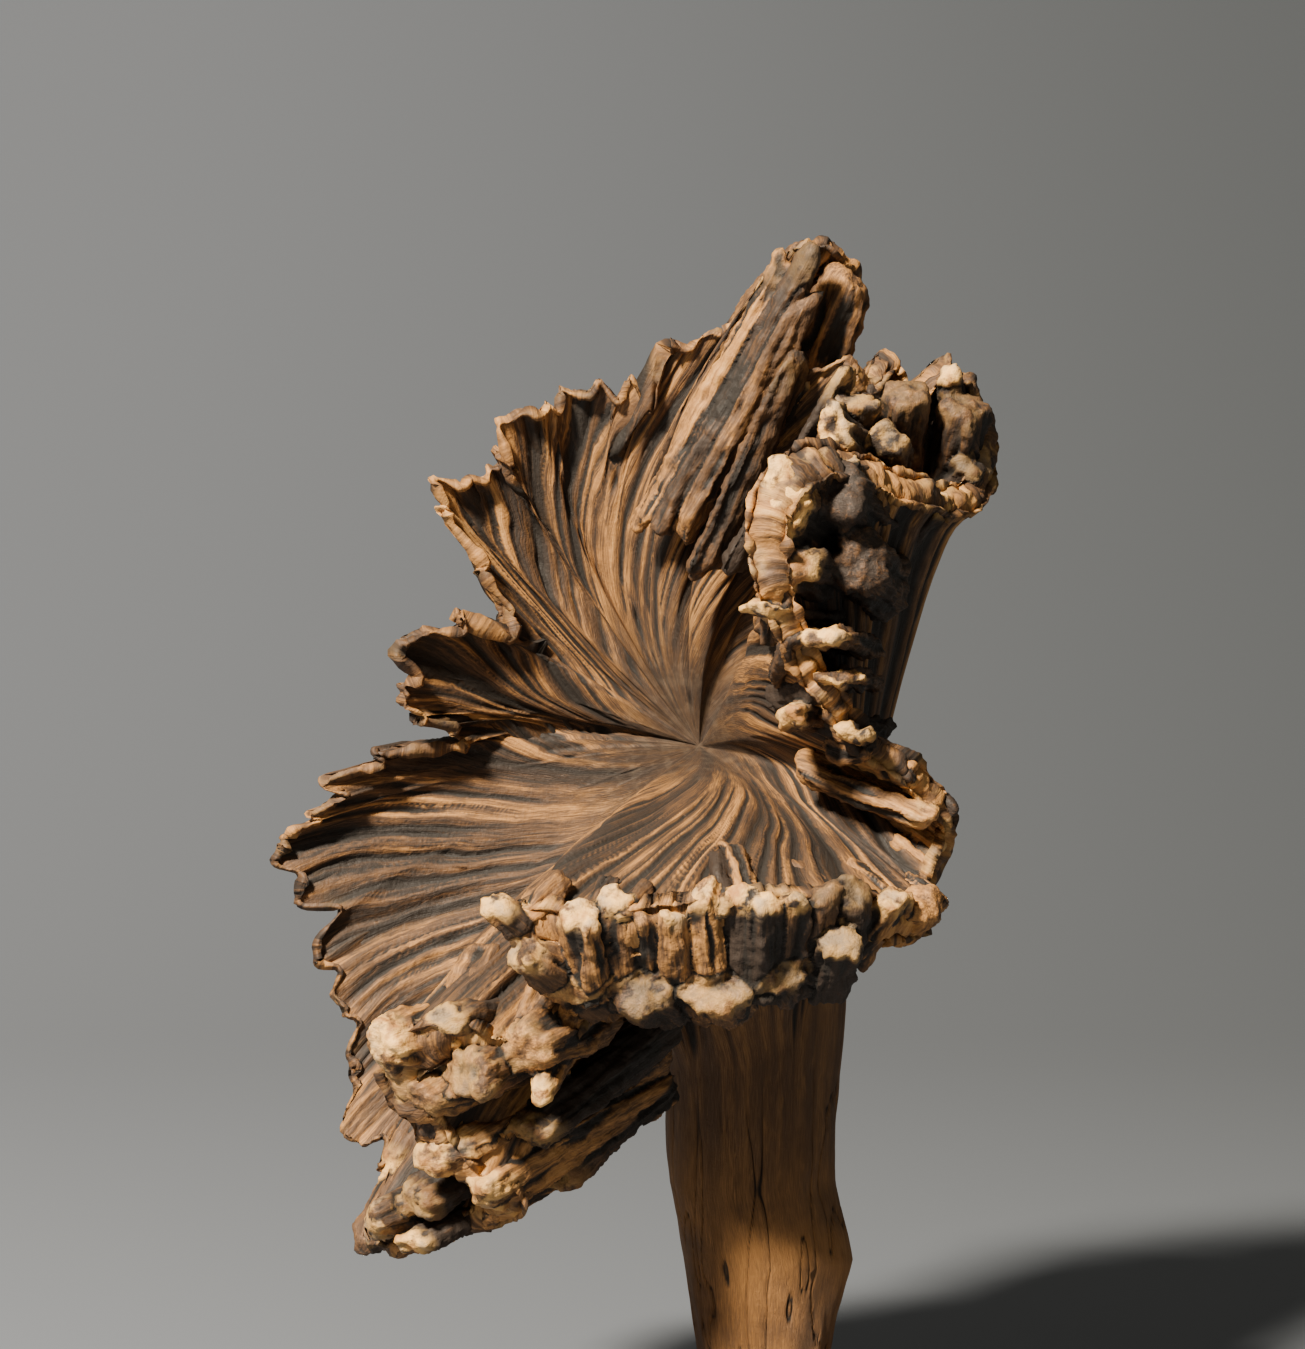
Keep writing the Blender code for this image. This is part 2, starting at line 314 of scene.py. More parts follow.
FURROW_SETS = (
    Furrows(count=52, seed=21, depth=0.16, deepest=3.2, narrowest=3.0),
    Furrows(count=150, seed=22, depth=0.30, deepest=2.2, narrowest=1.4),
    Furrows(count=400, seed=23, depth=0.24, deepest=0.8, narrowest=0.9),
)
TONE_SHARES = (0.25, 0.4, 0.35)  # how much the strands of each set tint the wood
NOTCHES = Furrows(count=78, seed=5, depth=1.0, deepest=1.0, narrowest=0.1)


@dataclass
class Skin:
    """The rose's skin as rings of points, with what its finish needs to know at each.

    Attributes:
        place: Points in millimetres, by ring and column.
        turn: How far round the rose each point is, in whole turns.
        reach: How far along its flute, 0 at the heart and 1 at the rim, then on to 2 at the collar and
            3 at the foot.
        spread: Millimetres of skin in a whole turn, at each point.
        along: Millimetres from the heart, along the flute and down the outside.
        furrow_shade: How deep in a furrow or crack each point is, 0 to 1, where the finish paints shade.
        tone: How light the strand under each point is, -1 to 1.
        pale: How freshly broken each point is, 0 to 1.
    """

    place: Array
    turn: Array
    reach: Array
    spread: Array
    along: Array
    furrow_shade: Array
    tone: Array
    pale: Array


@dataclass
class RoseForm:
    """The form that the rose's pieces share: flutes from the heart to the rim, and the skin behind them.

    Attributes:
        corner: The lowest, leftmost, nearest corner of the CAD rose's box, in millimetres.
        columns: How many columns of points run round the rose.
        rings: How many rings run inside, round the rim, outside, down the root and across the foot.
        heart_from_corner: From that corner to the heart, where the flutes meet.
        heart_wall: Thickness of wood behind the heart.
        root_axis: Where the root stands, in X and Y.
        collar: Height of the collar, where the outside becomes root, and its tilt in X and Y.
        samples: Steps along each flute that the skin is read from.
        heart: Where the flutes meet.
        places: Where on the rim each column lies, counted in rim points from the first.
        wall: The rim's thickness at each column.
        bearing: Where on the root each column runs down, in radians.
        steps: The steps along a flute, 0 at the heart and 1 at the rim.
        turn: How far round the rose each column is, in whole turns.
        inside: The fluted face, by column and step.
        outside: The outside behind it.
    """

    DRUM = 9.0              # radius, in cells, of the drum that the meander is read from
    MEANDER_LENGTH = 38.0   # millimetres of flute to each cell of it
    SWIRL = 0.09            # how far the flutes turn at the heart, in whole turns
    RIM_ZONE = 0.05         # how far from the rim its broken edge reaches, as a share of the flute
    CRUMB = 2.6             # millimetres to each cell of the crumbled edge
    KNOTS = (16.0, 16.0, 34.0)   # millimetres to each cell of the root's knots
    CRACKS = (5.0, 5.0, 44.0)    # the same, of its cracks

    corner: Array
    columns: int = 1320
    rings: tuple[int, int, int, int, int] = (126, 8, 56, 58, 7)
    heart_from_corner: tuple[float, float, float] = (126.2, 116.8, 200.7)
    heart_wall: float = 19.0
    root_axis: tuple[float, float] = (20.0, 20.0)
    collar: tuple[float, float, float] = (134.0, 10.0, 12.0)
    samples: int = 80
    heart: Array = field(init=False)
    places: Array = field(init=False)
    wall: Array = field(init=False)
    bearing: Array = field(init=False)
    steps: Array = field(init=False)
    turn: Array = field(init=False)
    inside: Array = field(init=False)
    outside: Array = field(init=False)

    def __post_init__(self) -> None:
        """Lay the flutes out and find the skin behind them."""
        self.heart = self.corner + np.array(self.heart_from_corner)
        rim, driven = self.rim_points()
        places = self.even_places(rim)
        self.places = places
        rim = closed_curve(rim, places)
        along = range(len(driven) + 1)
        bearing, wall, hollow, swing = (
            np.interp(places, along, [*values, last]) for values, last in zip(driven.T, self.first_again())
        )
        self.wall = wall[:, None]
        self.bearing = np.radians(bearing)
        self.steps = np.linspace(0.0, 1.0, self.samples + 1)
        self.turn = np.arange(self.columns) / self.columns
        self.inside = self.flutes(rim + self.tooth(rim), self.middles(rim, hollow, swing))
        self.outside = self.inside + self.thickness() * self.backward()

    @staticmethod
    def first_again() -> tuple[float, float, float, float]:
        """Give the first lobe's values once more, a full turn on, to close the rim."""
        first = LOBES[0]
        return first.bearing - 360.0, first.wall, first.hollow, first.swing

    def rim_points(self) -> tuple[Array, Array]:
        """Read the lobes.

        Returns:
            Every point of the rim, and the bearing, wall, hollow and swing at each.
        """
        ends = [lobe[:4] for lobe in LOBES[1:]] + [self.first_again()]
        points, driven = [], []
        for lobe, end in zip(LOBES, ends):
            for number, (right, forward, up) in enumerate(lobe.points):
                share = number / len(lobe.points)
                points.append(self.heart + (right, -forward, up))
                driven.append([a + (b - a) * share for a, b in zip(lobe[:4], end)])
        return np.array(points), np.array(driven)

    def middles(self, rim: Array, hollow: Array, swing: Array) -> Array:
        """Give the middle of each flute, half-way out and set back and aside as its lobe asks.

        Args:
            rim: The rim's points, one for each column.
            hollow: How far each middle lies behind a plain one.
            swing: How far each middle lies to the right of a plain one.

        Returns:
            The middles, one for each column.
        """
        middle = (rim - self.heart) / 2.0
        middle[:, 0] += swing
        middle[:, 1] += (FLUTE_FORWARD - 0.5) * (rim - self.heart)[:, 1] + hollow
        middle[:, 2] += FLUTE_RISE
        return self.heart + middle

    def tooth(self, rim: Array) -> Array:
        """Shift each rim point in or out, so that thin walls end in teeth and thick ones in stumps.

        Args:
            rim: The rim's points, one for each column.

        Returns:
            A shift for each point, along its flute.
        """
        flute = unit(rim - self.heart)
        thin = 1.0 - smooth_step(THIN_WALL, 8.0, self.wall[:, 0])
        still = np.zeros_like(self.turn)
        cells = np.stack((self.turn * TOOTH_CELLS, still, still), -1)
        ragged = Grain(3).at(cells) * 6.0 + Grain(4).at(cells * 2.7) * 2.4
        _, slit = NOTCHES.relief(self.turn, np.full(self.columns, 1.0), np.full(self.columns, 1300.0))
        cut = ragged - 9.0 * slit
        return flute * (cut * (0.25 + 0.75 * thin))[:, None]

    def even_places(self, rim: Array) -> Array:
        """Space the columns evenly along the rim, a little closer where its points crowd.

        Args:
            rim: The rim's points.

        Returns:
            Where each column lies, counted in points from the first.
        """
        fine = np.linspace(0.0, len(rim), 4001)
        step = np.linalg.norm(np.diff(closed_curve(rim, fine), axis=0), axis=1)
        length = np.concatenate(([0.0], np.cumsum(step + 0.4 * step.mean())))
        return np.interp(np.arange(self.columns) / self.columns * length[-1], length, fine)

    def flutes(self, rim: Array, middle: Array) -> Array:
        """Run a curved flute from the heart to each column's place on the rim.

        Args:
            rim: The rim's points, one for each column.
            middle: The point that each flute passes half-way.

        Returns:
            The flutes, by column and step.
        """
        steps = self.steps[None, :, None]
        bend = (2.0 * middle - (self.heart + rim) / 2.0)[:, None]
        return (1.0 - steps) ** 2 * self.heart + 2.0 * steps * (1.0 - steps) * bend + steps**2 * rim[:, None]

    def thickness(self) -> Array:
        """Give the wood's thickness along each flute: stout at the heart, the wall's own at the rim."""
        heart = self.heart_wall * (1.0 - smooth_step(0.15, 0.95, self.steps))
        return (self.wall * smooth_step(0.0, 0.7, self.steps) + heart)[..., None]

    def backward(self) -> Array:
        """Find the direction from the fluted face into the wood.

        Returns:
            A direction for each point of the face, evened out over near flutes.
        """
        reach = max(2, self.columns // 100)
        across = np.roll(self.inside, -reach, 0) - np.roll(self.inside, reach, 0)
        normals = unit(np.cross(np.gradient(self.inside, axis=1), across))
        for _ in range(3):
            normals = np.roll(normals, reach, 0) + 2.0 * normals + np.roll(normals, -reach, 0)
            normals = unit(normals)
        return normals

    def along(self, surface: Array, step: float) -> Array:
        """Read one ring of a surface.

        Args:
            surface: Its points, by column and step.
            step: Where to read it, from 0 at the heart to 1 at the rim.

        Returns:
            The ring of points.
        """
        place = step * self.samples
        low = min(int(place), self.samples - 1)
        return surface[:, low] * (low + 1 - place) + surface[:, low + 1] * (place - low)

    def root_ring(self, height: Array | float) -> Array:
        """Read the root at one level.

        Args:
            height: The level, which may differ from column to column.

        Returns:
            The ring of points.
        """
        levels = [ring.height for ring in ROOT]
        shift, half_width, half_depth = (
            np.interp(height, levels, [ring[size] for ring in ROOT]) for size in (1, 2, 3)
        )
        x = self.root_axis[0] + shift + half_width * np.cos(self.bearing)
        y = self.root_axis[1] + half_depth * np.sin(self.bearing)
        return np.stack((x, y, np.broadcast_to(height, x.shape)), -1)

    def rim_ring(self, turned: float) -> Array:
        """Lay one ring round the rim.

        Args:
            turned: Where it lies, from 0 inside to pi outside.

        Returns:
            The ring of points.
        """
        inner, outer = self.inside[:, -1], self.outside[:, -1]
        outward = unit(self.inside[:, -1] - self.inside[:, -3]) * self.wall * 0.4
        across = (inner - outer) / 2 * math.cos(turned)
        return (inner + outer) / 2 + across + outward * (math.sin(turned) - 1.0)

    def outer_ring(self, part: float) -> Array:
        """Lay one ring of the outside.

        Args:
            part: Where it lies, from 0 at the rim to 1 at the collar of the root.

        Returns:
            The ring of points.
        """
        height, tilt_x, tilt_y = self.collar
        collar = height + tilt_x * np.cos(self.bearing) + tilt_y * np.sin(self.bearing)
        spread = np.stack((np.cos(self.bearing), np.sin(self.bearing), np.zeros(self.columns)), -1)
        neck = self.root_ring(collar) + spread * 16.0 * (1.0 - part) ** 2
        neck[:, 2] += 30.0 * (1.0 - part)
        share = smooth_step(0.15, 1.0, part)
        return (1.0 - share) * self.along(self.outside, 1.0 - 0.66 * part) + share * neck

    def skin(self) -> Skin:
        """Lay out the whole skin and carve its furrows.

        Returns:
            The skin, from the ring next to the heart to the ring next to the middle of the foot.
        """
        inner, rim, outer, root, foot = self.rings
        rings = [self.along(self.inside, (k / (inner + 1)) ** 0.9) for k in range(1, inner + 1)]
        reach = [(k / (inner + 1)) ** 0.9 for k in range(1, inner + 1)]
        rings += [self.rim_ring(math.pi * k / (rim + 1)) for k in range(rim + 2)]
        reach += [1.0] * (rim + 2)
        rings += [self.outer_ring(k / outer) for k in range(1, outer + 1)]
        reach += [1.0 + k / outer for k in range(1, outer + 1)]
        collar = rings[-1][:, 2]
        for k in range(1, root + 1):
            rings.append(self.root_ring(collar + (ROOT[0].height - collar) * k / root))
            reach.append(2.0 + k / root)
        edge, centre = rings[-1], rings[-1].mean(axis=0)
        rings += [edge + (centre - edge) * k / (foot + 1) for k in range(1, foot + 1)]
        reach += [3.0 + k / foot for k in range(1, foot + 1)]
        return self.carved(np.array(rings), np.array(reach))

    def carved(self, place: Array, reach: Array) -> Skin:
        """Carve the furrows into rings of smooth points.

        Args:
            place: The smooth points, by ring and column.
            reach: How far along each ring is.

        Returns:
            The carved skin.
        """
        across = (np.roll(place, -1, 1) - np.roll(place, 1, 1)) / 2.0
        down = np.gradient(place, axis=0)
        outward = unit(np.cross(down, across)) * -1.0
        spread = np.linalg.norm(across, axis=-1) * self.columns
        step = np.linalg.norm(down, axis=-1)
        along = np.cumsum(step, axis=0)
        turn = np.broadcast_to(self.turn, spread.shape)
        reach_all = np.broadcast_to(reach[:, None], spread.shape)
        angle = 2 * np.pi * turn
        drum = np.stack(
            (np.cos(angle) * self.DRUM, np.sin(angle) * self.DRUM, along / self.MEANDER_LENGTH), -1
        )
        meander = 0.0024 * Grain(11).at(drum) + 0.0008 * Grain(12).at(drum * 2.6)
        swirl = self.SWIRL * np.clip(1.0 - reach_all, 0.0, 1.0) ** 2
        flow = (turn + meander + swirl) % 1.0
        height = np.zeros_like(spread)
        furrow_shade = np.zeros_like(spread)
        tone = np.zeros_like(spread)
        for furrows, share in zip(FURROW_SETS, TONE_SHARES):
            lift, slit = furrows.relief(flow, np.clip(reach_all, 0.0, 1.0), spread)
            height += lift
            # Painted shade: the furrows' slits, darker for the deeper sets, are kept for the finish to paint
            # dark.
            furrow_shade = np.maximum(furrow_shade, slit * min(1.0, 0.55 + 0.2 * furrows.deepest))
            tone += share * furrows.tone(flow)
        edge = np.exp(-(((reach_all - 1.0) / self.RIM_ZONE) ** 2))
        thick = smooth_step(THIN_WALL, 9.0, self.wall[:, 0])
        crumbs = Grain(31).layered(place / self.CRUMB, 3)
        height = height * (1.0 - 0.7 * edge * thick) + edge * crumbs * (0.3 + 0.8 * thick)
        furrow_shade = furrow_shade * (1.0 - 0.75 * edge)
        root = smooth_step(1.9, 2.3, reach_all)
        knots = Grain(32).layered(place / self.KNOTS, 3)
        cracks = 1.0 - np.abs(Grain(35).layered(place / self.CRACKS, 2))
        cracked = smooth_step(0.93, 1.0, cracks) * root
        foot_calm = 1.0 - smooth_step(2.95, 3.0, reach_all)
        height = (height * (1.0 - 0.6 * root) + root * (1.6 * knots - 0.9 * cracked)) * foot_calm
        carved = place + outward * height[..., None]
        # Painted shade: the root's cracks are painted dark too.
        furrow_shade = np.maximum(furrow_shade * (1.0 - 0.6 * root), 0.7 * cracked)
        pale = (0.10 + 0.25 * thick) * edge * smooth_step(0.15, 0.6, Grain(33).layered(place / 6.0, 2) + 0.25)
        return Skin(carved, flow, reach_all, spread, along, furrow_shade, tone, pale)


# ---------------------------------------------------------------- materials


class Flow:
    """A value on its way through a finish. Sums on it add Math nodes."""

    def __init__(self, recipe: "Recipe", socket: bpy.types.NodeSocket) -> None:
        """Keep the recipe that the value belongs to, and the socket that gives it."""
        self.recipe = recipe
        self.socket = socket

    def sum(self, operation: str, first: "Flow | float", second: "Flow | float") -> "Flow":
        """Add one Math node."""
        return self.recipe.node("ShaderNodeMath", {0: first, 1: second}, operation=operation)

    def __add__(self, other: "Flow | float") -> "Flow":
        """Add."""
        return self.sum("ADD", self, other)

    __radd__ = __add__

    def __mul__(self, other: "Flow | float") -> "Flow":
        """Multiply."""
        return self.sum("MULTIPLY", self, other)

    __rmul__ = __mul__

    def __sub__(self, other: "Flow | float") -> "Flow":
        """Subtract."""
        return self.sum("SUBTRACT", self, other)

    def __rsub__(self, other: float) -> "Flow":
        """Subtract this from a number."""
        return self.sum("SUBTRACT", other, self)


Color = tuple[float, float, float]


class Recipe:
    """A finish being put together from nodes."""

    def __init__(self, name: str) -> None:
        """Start a material with a Principled shader."""
        self.material = bpy.data.materials.new(name)
        self.material.use_nodes = True
        self.tree = self.material.node_tree
        self.shader = self.tree.nodes["Principled BSDF"]

    def set(self, socket: bpy.types.NodeSocket, value: object) -> None:
        """Link a value to a socket, or set a number or a colour on it.

        Args:
            socket: The socket.
            value: What goes in it.
        """
        if isinstance(value, Flow):
            self.tree.links.new(value.socket, socket)
        elif isinstance(value, tuple) and len(value) == 3 and socket.type == "RGBA":
            socket.default_value = (*value, 1.0)
        else:
            socket.default_value = value

    def node(self, kind: str, values: dict | None = None, out: int | str = 0, **settings: object) -> Flow:
        """Add a node.

        Args:
            kind: The node's type.
            values: What goes in its sockets, by name or number.
            out: Which output to take.
            settings: The node's own settings, set first. stops fills a ramp.

        Returns:
            The node's output.
        """
        node = self.tree.nodes.new(kind)
        stops = settings.pop("stops", None)
        for name, value in settings.items():
            setattr(node, name, value)
        if stops:
            ramp = node.color_ramp.elements
            while len(ramp) < len(stops):
                ramp.new(0.5)
            for element, (position, color) in zip(ramp, stops):
                element.position = position
                element.color = (*color, 1.0)
        for key, value in (values or {}).items():
            self.set(node.inputs[key], value)
        return Flow(self, node.outputs[out])

    def read(self, name: str, out: str = "Fac") -> Flow:
        """Read one of the piece's own attributes."""
        return self.node("ShaderNodeAttribute", out=out, attribute_name=name)

    def noise(self, vector: Flow, scale: float, detail: float = 3.0, rough: float = 0.55) -> Flow:
        """Read fractal noise, from 0 to 1, at a vector."""
        values = {"Vector": vector, "Scale": scale, "Detail": detail, "Roughness": rough}
        return self.node("ShaderNodeTexNoise", values)

    def rise(self, value: Flow, low: float, high: float, to_low: float = 0.0, to_high: float = 1.0) -> Flow:
        """Rise smoothly from one number to another as a value goes from low to high."""
        values = {"Value": value, 1: low, 2: high, 3: to_low, 4: to_high}
        return self.node("ShaderNodeMapRange", values, interpolation_type="SMOOTHSTEP")

    def ramp(self, value: Flow, *stops: tuple[float, Color]) -> Flow:
        """Turn a value into a colour."""
        return self.node("ShaderNodeValToRGB", {0: value}, out="Color", stops=stops)

    def blend(self, share: Flow | float, first: Flow | Color, second: Flow | Color) -> Flow:
        """Blend two colours."""
        return self.node("ShaderNodeMix", {0: share, 6: first, 7: second}, out=2, data_type="RGBA")

    def bump(self, height: Flow, distance: float, strength: float) -> Flow:
        """Turn a height into a normal."""
        values = {"Height": height, "Distance": distance, "Strength": strength}
        return self.node("ShaderNodeBump", values)

    def finish(self, color: Flow, roughness: Flow | float, normal: Flow) -> bpy.types.Material:
        """Feed the shader.

        Args:
            color: The surface's colour.
            roughness: Its roughness.
            normal: Its normal.

        Returns:
            The material.
        """
        self.set(self.shader.inputs["Base Color"], color)
        self.set(self.shader.inputs["Roughness"], roughness)
        self.set(self.shader.inputs["Normal"], normal)
        return self.material


@dataclass(frozen=True)
class AgedWood:
    """Weathered root wood: tan on the ridges, cream where it is broken, with painted shade near black in the
    furrows, gaps and cracks, painted light low on the root, and darker towards the heart.

    Attributes:
        furrow_shade: Painted shade, the colour deep in the furrows, the gaps between stubs and the cracks.
        dark: Colour of the darker strands.
        strand: Colour of the middling strands.
        ridge: Colour of the lit ridges.
        pale: Colour of the palest streaks.
        cream: Colour of a freshly broken end.
        ochre: Colour of an older broken end.
        ash: Colour of a bleached broken end.
        heart_dark: Colour of the patches that the wood darkens to towards the heart.
    """

    furrow_shade: Color = (0.012, 0.008, 0.005)
    dark: Color = (0.026, 0.015, 0.009)
    strand: Color = (0.115, 0.054, 0.020)
    ridge: Color = (0.400, 0.185, 0.050)
    pale: Color = (0.560, 0.305, 0.105)
    cream: Color = (0.880, 0.500, 0.150)
    ochre: Color = (0.420, 0.185, 0.050)
    ash: Color = (0.500, 0.330, 0.170)
    heart_dark: Color = (0.062, 0.043, 0.028)

    def make(self) -> bpy.types.Material:
        """Put the finish together.

        Returns:
            The material.
        """
        recipe = Recipe("aged_root_wood")
        grain = recipe.read("grain", "Vector")
        furrow_shade, spread, reach = (recipe.read(name) for name in ("furrow_shade", "spread", "reach"))
        place = recipe.node("ShaderNodeTexCoord", out="Object")
        middle = recipe.noise(grain, 620.0, 4.0)
        close = recipe.noise(grain, 1500.0, 4.0)
        streak = close + recipe.rise(spread, 0.25, 0.65) * (middle * 0.5 + close * 0.5 - close)
        blotch = recipe.noise(place, 38.0, 3.0)
        # Painted shade: the tone is also lowered in the furrows.
        tone = streak * 0.7 + blotch * 0.3 + recipe.read("tone") * 0.24 - furrow_shade * 0.2 - 0.045
        wood = recipe.ramp(
            tone, (0.28, self.dark), (0.43, self.strand), (0.56, self.ridge), (0.70, self.pale)
        )
        # Towards the heart the wood turns darker, in patches.
        heart_dark = recipe.blend(recipe.rise(recipe.noise(place, 260.0, 4.0), 0.44, 0.66), self.dark, self.heart_dark)
        wood = recipe.blend(recipe.rise(reach, 0.42, 0.10) * 0.85, wood, heart_dark)
        wood = recipe.blend(recipe.rise(reach, 1.05, 1.5) * 0.6, wood, self.strand)
        # Painted light: the root is painted lighter from about 0.135 m down to 0.095 m, as if lit below the
        # rose's shadow. Its mottling from strand to ridge colour is the bark's own.
        lit_low_bark = recipe.blend(recipe.rise(blotch * 0.5 + streak * 0.5, 0.38, 0.62), self.strand, self.ridge)
        height = recipe.node("ShaderNodeSeparateXYZ", {0: place}, out="Z")
        low = recipe.blend(recipe.rise(height + blotch * 0.05, 0.135, 0.095), wood, lit_low_bark)
        wood = recipe.blend(recipe.rise(reach, 1.8, 2.1) * 0.75, wood, low)
        # Painted shade: the furrows, gaps and cracks are painted near black.
        wood = recipe.blend(recipe.rise(furrow_shade, 0.15, 0.7), wood, self.furrow_shade)
        broken = recipe.read("pale") * recipe.rise(recipe.noise(place, 170.0, 4.0), 0.38, 0.52)
        patch = recipe.noise(place, 130.0, 3.0)
        fresh = recipe.ramp(patch, (0.36, self.ochre), (0.50, self.cream), (0.64, self.ash))
        wood = recipe.blend(broken * recipe.rise(furrow_shade, 0.9, 0.3), wood, fresh)
        grit = recipe.noise(place, 900.0, 2.0)
        normal = recipe.bump(streak * 0.7 + grit * 0.3, 0.0012, 0.7)
        return recipe.finish(wood, recipe.rise(streak, 0.3, 0.7, 0.85, 0.6), normal)


@dataclass(frozen=True)
class TurnedWood:
    """Dark stained and waxed wood, with a straight grain across the base.

    Attributes:
        dark: Colour between the grain lines.
        light: Colour of the lighter wood.
    """

    dark: Color = (0.022, 0.012, 0.007)
    light: Color = (0.085, 0.042, 0.020)

    def make(self) -> bpy.types.Material:
        """Put the finish together.

        Returns:
            The material.
        """
        recipe = Recipe("base_wood")
        place = recipe.node("ShaderNodeTexCoord", out="Object")
        values = {"Vector": place, "Scale": (9.0, 140.0, 140.0)}
        drawn = recipe.node("ShaderNodeMapping", values)
        lines = recipe.noise(drawn, 1.0, 6.0, 0.65)
        pores = recipe.noise(drawn, 6.0, 3.0)
        color = recipe.blend(recipe.rise(lines * 0.7 + pores * 0.3, 0.35, 0.65), self.dark, self.light)
        normal = recipe.bump(pores, 0.0003, 0.5)
        return recipe.finish(color, recipe.rise(lines, 0.3, 0.7, 0.5, 0.36), normal)


@dataclass(frozen=True)
class PaperWithPaintedShade:
    """Matte studio paper, for the floor and the sweep behind the object, with painted shade that darkens it
    to the right, as if the light fell off there.

    Attributes:
        left: Its colour at the left.
        right: Its colour at the right, darker as painted shade.
    """

    left: Color = (0.182, 0.200, 0.236)
    right: Color = (0.096, 0.108, 0.124)

    def make(self) -> bpy.types.Material:
        """Put the finish together.

        Returns:
            The material.
        """
        recipe = Recipe("studio_paper_painted_shade")
        place = recipe.node("ShaderNodeTexCoord", out="Object")
        across = recipe.node("ShaderNodeSeparateXYZ", {0: place}, out="X")
        # Painted shade: the paper darkens from left to right.
        color = recipe.blend(recipe.rise(across, -0.7, 0.7), self.left, self.right)
        recipe.set(recipe.shader.inputs["Base Color"], color)
        recipe.set(recipe.shader.inputs["Roughness"], 0.9)
        return recipe.material


@dataclass(frozen=True)
class BrightSteel:
    """Bright steel with fine turned marks.

    Attributes:
        light: Colour between the marks.
        dark: Colour of the marks.
    """

    light: Color = (0.56, 0.55, 0.53)
    dark: Color = (0.45, 0.44, 0.43)

    def make(self) -> bpy.types.Material:
        """Put the finish together.

        Returns:
            The material.
        """
        recipe = Recipe("screw_steel")
        place = recipe.node("ShaderNodeTexCoord", out="Object")
        marks = recipe.noise(place, 4000.0, 2.0)
        recipe.set(recipe.shader.inputs["Metallic"], 1.0)
        tint = recipe.blend(marks, self.light, self.dark)
        return recipe.finish(tint, recipe.rise(marks, 0.3, 0.7, 0.28, 0.42), recipe.bump(marks, 0.0001, 0.4))


# ---------------------------------------------------------------- pieces


def start_fresh() -> None:
    """Deselect everything, so that the next operator acts on the new piece alone."""
    if bpy.context.object and bpy.context.object.mode != "OBJECT":
        bpy.ops.object.mode_set(mode="OBJECT")
    bpy.ops.object.select_all(action="DESELECT")


def read_points(piece: bpy.types.Object, key: str = "co") -> Array:
    """Read a vector at each point of a piece.

    Args:
        piece: The piece.
        key: Which vector: its place, in the mesh's own units, or its normal.

    Returns:
        One row for each point.
    """
    values = np.empty(len(piece.data.vertices) * 3, np.float32)
    piece.data.vertices.foreach_get(key, values)
    return values.reshape(-1, 3)


def move_points(piece: bpy.types.Object, place: Array) -> None:
    """Move a piece's points to places in millimetres."""
    piece.data.vertices.foreach_set("co", (place * MM).astype(np.float32).ravel())


def dress_as_rose(piece: bpy.types.Object, finish: bpy.types.Material) -> None:
    """Give a piece the wood's finish, say what it rides on, and hide the CAD rose that it stands in for.

    Args:
        piece: The piece.
        finish: The wood's finish.
    """
    piece.data.materials.clear()
    piece.data.materials.append(finish)
    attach(piece, BODY)
    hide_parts(ROSE_NODE)


def give(piece: bpy.types.Object, name: str, values: Array) -> None:
    """Write one attribute on a piece's points.

    Args:
        piece: The piece.
        name: The attribute's name.
        values: One number, or one vector, for each point.
    """
    kind, key = ("FLOAT_VECTOR", "vector") if values.ndim == 2 else ("FLOAT", "value")
    attribute = piece.data.attributes.new(name, kind, "POINT")
    attribute.data.foreach_set(key, np.ascontiguousarray(values, np.float32).ravel())


def apply_modifier(piece: bpy.types.Object, kind: str, **settings: object) -> None:
    """Add a modifier to a piece, set it and apply it.

    Args:
        piece: The piece.
        kind: The modifier's type.
        settings: The modifier's own settings.
    """
    start_fresh()
    piece.select_set(True)
    bpy.context.view_layer.objects.active = piece
    modifier = piece.modifiers.new(kind.lower(), kind)
    for name, value in settings.items():
        setattr(modifier, name, value)
    bpy.ops.object.modifier_apply(modifier=modifier.name)


